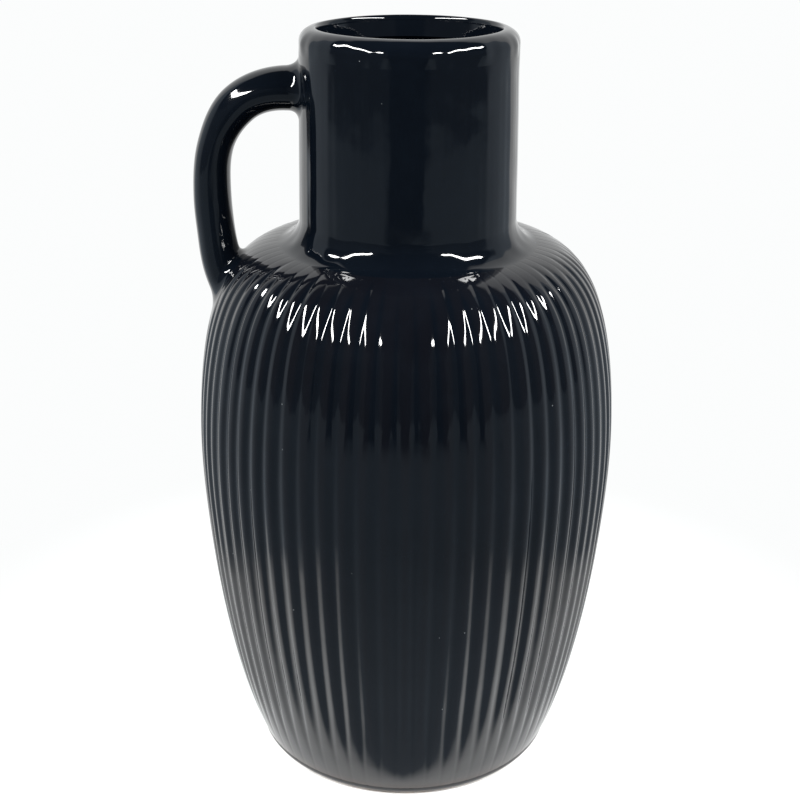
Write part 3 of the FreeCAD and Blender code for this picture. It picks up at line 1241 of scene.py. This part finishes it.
@dataclass
class Paper:
    """The stage's sheet of graded paper: a floor that sweeps up all round into a wall.

    It is white behind the jug and grey in front of it and beside it. Where it glows, its greys are
    painted light and shade: shaded in front, lit to the sides, an uneven painted shadow in front of
    the jug, an uneven painted band of shade beyond it, and painted shade towards its top edge.
    Sizes are in metres.
    """

    floor: float = 1.6
    sweep: float = 0.4
    crest: float = 1.25
    back_rise: float = 2.2
    back_share: float = 0.7
    columns: int = 144
    level_rows: int = 48
    sweep_rows: int = 20
    upright_rows: int = 16
    first_ring: float = 0.01
    roughness: float = 0.9
    white_half_width: float = 0.17
    white_widening: float = 0.30
    white_spreading: float = 0.7
    side_softness: float = 0.05
    side_softening: float = 0.30
    front_edge: float = 0.0665
    front_slant: float = 0.4
    front_softness: float = 0.0053
    lit_range: Pair = (0.07, 0.25)
    # Where the glow's painted light and shade lie: lit towards the sides, a painted shadow in
    # front, a painted band of shade far off, and painted shade at the top edge.
    lit_side_range: Pair = (-0.30, 0.15)
    front_shadow_narrowing: float = 0.36
    front_shadow_edge: Pair = (-0.16, 0.14)
    front_shadow_start: Pair = (0.60, 0.95)
    shade_belt_start: Pair = (1.25, 1.75)
    uneven: float = 0.8
    uneven_scale: float = 2.6
    top_shade_fade: Pair = (0.7, 1.0)
    white: Triple = (0.92, 0.93, 0.93)
    glowing_white: Triple = (0.97, 0.98, 0.98)
    grey: Triple = (0.175, 0.205, 0.235)
    # Glowing greys of painted light and shade: shaded in front, lit to the sides, a band of shade
    # far off, a shadow in front and shade at the top edge.
    shaded_front_grey: Triple = (0.27, 0.32, 0.36)
    lit_side_grey: Triple = (0.46, 0.52, 0.58)
    shade_belt_grey: Triple = (0.11, 0.125, 0.14)
    front_shadow_grey: Triple = (0.05, 0.06, 0.07)
    top_shade_grey: Triple = (0.035, 0.035, 0.035)

    def build(self) -> Piece:
        """Make the sheet.

        The profile is a level run from the axis, a quarter round and an upright run,
        carried round the axis. The upright run is higher behind the jug.

        Returns:
            The sheet.
        """
        level = np.geomspace(self.first_ring, self.floor, self.level_rows)
        level = np.c_[level, np.zeros(self.level_rows)]
        angle = np.radians(np.linspace(-90, 0, self.sweep_rows))[1:]
        sweep = np.c_[np.cos(angle), 1.0 + np.sin(angle)] * self.sweep + [self.floor, 0.0]
        radius, height = np.vstack([level, sweep]).T
        columns = self.columns
        angle = circle_of(columns)
        crest = self.crest + self.back_rise * smooth_step(np.sin(angle) / self.back_share)
        share = np.linspace(0.0, 1.0, self.upright_rows)[1:, None]
        upright = share * (crest - self.sweep) + self.sweep
        radius = np.r_[radius, np.full(len(upright), radius[-1])]
        height = np.vstack([np.repeat(height[:, None], columns, axis=1), upright])
        points = turn(radius, height, angle)
        faces = grid_faces(len(points), columns)
        points = np.vstack([points.reshape(-1, 3), [(0.0, 0.0, 0.0)]]) / MM
        middle = fan(0, columns, len(points) - 1)
        piece = make_piece("floor_sheet", points, [faces[:, ::-1], middle], crease=180.0)
        piece.data.materials.append(self.material())
        return piece

    def white_mask(self, wire: Wiring, along: Socket, aside: Socket) -> Socket:
        """Where the paper is white: from just in front of the jug, and wider further back.

        Args:
            wire: The wiring of the material.
            along: Place along Y.
            aside: Distance from the middle along X.

        Returns:
            The mask, from 0 to 1.
        """
        back = wire.reckon("MAXIMUM", along, 0.0)
        slant = wire.plus(wire.times(back, self.white_spreading), self.white_widening)
        edge = wire.plus(wire.times(back, slant), self.white_half_width)
        soft = wire.plus(wire.times(back, self.side_softening), self.side_softness)
        inside = wire.less(1.0, wire.spread(wire.over(wire.less(aside, edge), soft), 0.0, 1.0))
        slant = wire.times(aside, self.front_slant)
        past = wire.plus(wire.plus(along, self.front_edge), slant)
        front = wire.spread(wire.over(past, wire.plus(slant, self.front_softness)), 0.0, 1.0)
        return wire.times(front, inside)

    def glow(
        self, wire: Wiring, along: Socket, aside: Socket, away: Socket, uneven: Socket
    ) -> Socket:
        """Glowing colour of the paper outside its white part, all painted light and shade: shaded
        in front, lit to the sides, a painted shadow in front of the jug and a painted band of shade
        beyond it.

        Args:
            wire: The wiring of the material.
            along: Place along Y.
            aside: Distance from the middle along X.
            away: Distance from the origin.
            uneven: How far the edges of the painted shadow and the painted band of shade stray.

        Returns:
            The colour.
        """
        # Painted shade: a dark uneven band far off.
        beyond = wire.spread(wire.plus(away, uneven), *self.shade_belt_start)
        # Painted light and shade: the glow is shaded in front and lit towards the sides.
        sideways = wire.spread(along, *self.lit_side_range)
        level = wire.blend(sideways, self.shaded_front_grey, self.lit_side_grey)
        around = wire.blend(beyond, level, wire.blend(sideways, self.shade_belt_grey, self.lit_side_grey))
        # Painted shadow: an uneven dark wedge in front of the jug, which the glaze mirrors.
        sector = wire.plus(wire.times(along, self.front_shadow_narrowing), aside)
        gap = wire.less(1.0, wire.spread(wire.plus(sector, uneven), *self.front_shadow_edge))
        gap = wire.times(gap, wire.spread(away, *self.front_shadow_start))
        return wire.blend(gap, around, self.front_shadow_grey)

    def material(self) -> Material:
        """Make the paper's material.

        Round the jug the paper is lit and shaded by the lamps. Further off it glows to the camera
        and in mirrors: white behind the jug, and elsewhere in greys of painted light and shade,
        with painted shade darkening it towards its top edge.

        Returns:
            The material.
        """
        made, wire, shader = new_material("graduated_paper")
        where, across, along, high = wire.places()
        aside = wire.reckon("ABSOLUTE", across, 0.0)
        away = wire.value("ShaderNodeVectorMath", {0: where}, "Value", operation="LENGTH")
        white = self.white_mask(wire, along, aside)
        wire.join(wire.blend(white, self.grey, self.white), shader.inputs["Base Color"])
        shader.inputs["Roughness"].default_value = self.roughness
        shader.inputs["Specular IOR Level"].default_value = 0.0
        noise = wire.noise(where, self.uneven_scale, 1.0)
        uneven = wire.times(wire.less(noise, 0.5), self.uneven)
        around = self.glow(wire, along, aside, away, uneven)
        colour = wire.blend(white, around, self.glowing_white)
        # Painted shade: the glow darkens towards the paper's top edge.
        reach = self.back_share * (self.floor + self.sweep)
        lift = wire.times(wire.spread(along, 0.0, reach), 0.5 * self.back_rise)
        share = wire.over(wire.less(high, lift), wire.plus(lift, self.crest))
        colour = wire.blend(wire.spread(share, *self.top_shade_fade), colour, self.top_shade_grey)
        glow = wire.node("ShaderNodeEmission")
        wire.join(colour, glow.inputs["Color"])
        ray = wire.node("ShaderNodeLightPath").outputs
        seen = wire.plus(ray["Is Camera Ray"], ray["Is Glossy Ray"])
        seen = wire.reckon("ADD", seen, ray["Is Transmission Ray"], True)
        mix = wire.node("ShaderNodeMixShader")
        wire.join(wire.times(seen, wire.spread(away, *self.lit_range)), mix.inputs[0])
        wire.join(shader.outputs[0], mix.inputs[1])
        wire.join(glow.outputs[0], mix.inputs[2])
        wire.join(mix.outputs[0], made.node_tree.nodes["Material Output"].inputs["Surface"])
        return made


@dataclass
class Studio:
    """The paper, a bent row of strip lamps on each side, a dim ceiling and the camera.

    The camera is the pinhole camera that was fitted to the photograph. Sizes are in
    metres and angles in degrees.
    """

    paper: Paper = field(default_factory=Paper)
    camera_back: float = 0.48740
    camera_height: float = 0.34159
    pitch: float = 22.464
    roll: float = 0.4859
    focal_pixels: float = 1371.92
    axis_offset_pixels: float = 6.30
    picture: int = 800
    sensor: float = 36.0
    lamp_radiance: float = 90.0
    lamp_width: float = 0.09
    lamp_aim: Triple = (0.0, 0.0, 0.16)
    lamp_corners: tuple[Triple, ...] = (
        (0.66, -0.95, 0.80),
        (0.80, -0.40, 0.89),
        (0.80, 0.02, 0.94),
    )
    ceiling: Triple = (0.84, 0.93, 1.0)
    ceiling_level: float = 0.035

    def lamps(self) -> None:
        """Hang a bent row of two strip lamps on each side, lowest towards the camera."""
        for sign, side in ((-1.0, "left"), (1.0, "right")):
            corners = np.array(self.lamp_corners) * [sign, 1.0, 1.0]
            for number, (start, end) in enumerate(zip(corners[:-1], corners[1:])):
                self.strip(f"strip_{side}_{number}", start, end)

    def strip(self, name: str, start: Array, end: Array) -> None:
        """Hang one strip lamp that faces the jug.

        Args:
            name: The lamp's name.
            start: Middle of its one short edge.
            end: Middle of its other short edge.
        """
        light = bpy.data.lights.new(name, "AREA")
        light.shape = "RECTANGLE"
        light.size = float(np.linalg.norm(end - start))
        light.size_y = self.lamp_width
        light.energy = self.lamp_radiance * math.pi * light.size * light.size_y
        lamp = bpy.data.objects.new(name, light)
        bpy.context.scene.collection.objects.link(lamp)
        middle = 0.5 * (start + end)
        along = (end - start) / light.size
        face = np.array(self.lamp_aim) - middle
        face -= along * np.dot(face, along)
        face /= np.linalg.norm(face)
        matrix = Matrix(np.c_[along, np.cross(-face, along), -face].tolist()).to_4x4()
        matrix.translation = middle.tolist()
        lamp.matrix_world = matrix

    def world(self) -> None:
        """Put an even, dim ceiling above the paper."""
        made = bpy.data.worlds.new("studio")
        made.use_nodes = True
        back = made.node_tree.nodes["Background"]
        back.inputs["Color"].default_value = (*self.ceiling, 1.0)
        back.inputs["Strength"].default_value = self.ceiling_level
        bpy.context.scene.world = made

    def camera(self) -> None:
        """Place the camera at the photograph's viewing angle."""
        data = bpy.data.cameras.new("camera")
        data.sensor_width = self.sensor
        data.lens = self.focal_pixels / self.picture * self.sensor
        camera = bpy.data.objects.new("camera", data)
        bpy.context.scene.collection.objects.link(camera)
        pitch, roll = math.radians(self.pitch), math.radians(self.roll)
        right = np.array([1.0, 0.0, 0.0])
        up = np.array([0.0, math.sin(pitch), math.cos(pitch)])
        look = np.array([0.0, math.cos(pitch), -math.sin(pitch)])
        turned = math.cos(roll) * right + math.sin(roll) * up
        up = math.cos(roll) * up - math.sin(roll) * right
        aside = self.axis_offset_pixels / self.focal_pixels
        right, look = turned + aside * look, look - aside * turned
        right /= np.linalg.norm(right)
        look /= np.linalg.norm(look)
        matrix = Matrix(np.c_[right, up, -look].tolist()).to_4x4()
        matrix.translation = (0.0, -self.camera_back, self.camera_height)
        camera.matrix_world = matrix
        bpy.context.scene.camera = camera

    def build(self) -> None:
        """Set the whole stage and the view transform."""
        self.paper.build()
        self.lamps()
        self.world()
        self.camera()
        bpy.context.scene.view_settings.view_transform = "Standard"


def settle(piece: Piece, material: Material, slot: Slot, *nodes: str) -> None:
    """Dress a piece, let it ride on the jug's body and stand for its nodes.

    Args:
        piece: The piece.
        material: Its finish.
        slot: The record's slot for that finish; not used.
        nodes: The solids that it stands for.
    """
    piece.data.materials.append(material)
    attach(piece, "root")
    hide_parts(*nodes)
    faces = len(piece.data.polygons)
    log.info("%s stands for %s, %d faces", piece.name, ", ".join(nodes), faces)


def main() -> None:
    """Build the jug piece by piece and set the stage."""
    logging.basicConfig(level=logging.INFO, format="%(name)s: %(message)s")
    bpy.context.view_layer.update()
    skin, mottle = GlazeSkin().group(), Mottle().group()
    glaze = BlackGlaze().material("black_glaze", skin, mottle)
    foot = FootFinish().material("foot_clay", skin)
    settle(Belly().build(), glaze, Slot.GLAZE, "belly_wall")
    settle(Neck().build(), glaze, Slot.GLAZE, "neck_collar")
    settle(Lip().build(), glaze, Slot.GLAZE, "lip_ring")
    handle = Handle()
    settle(handle.build(), glaze, Slot.GLAZE, "handle")
    settle(handle.collar(Side.NECK), glaze, Slot.GLAZE, "handle_upper_slip")
    settle(handle.collar(Side.SHOULDER), glaze, Slot.GLAZE, "handle_lower_slip")
    settle(Foot().build(), foot, Slot.CLAY, "foot_ring")
    settle(Floor().build(), glaze, Slot.GLAZE, "base_disc")
    Studio().build()


if __name__ == "__main__":
    main()
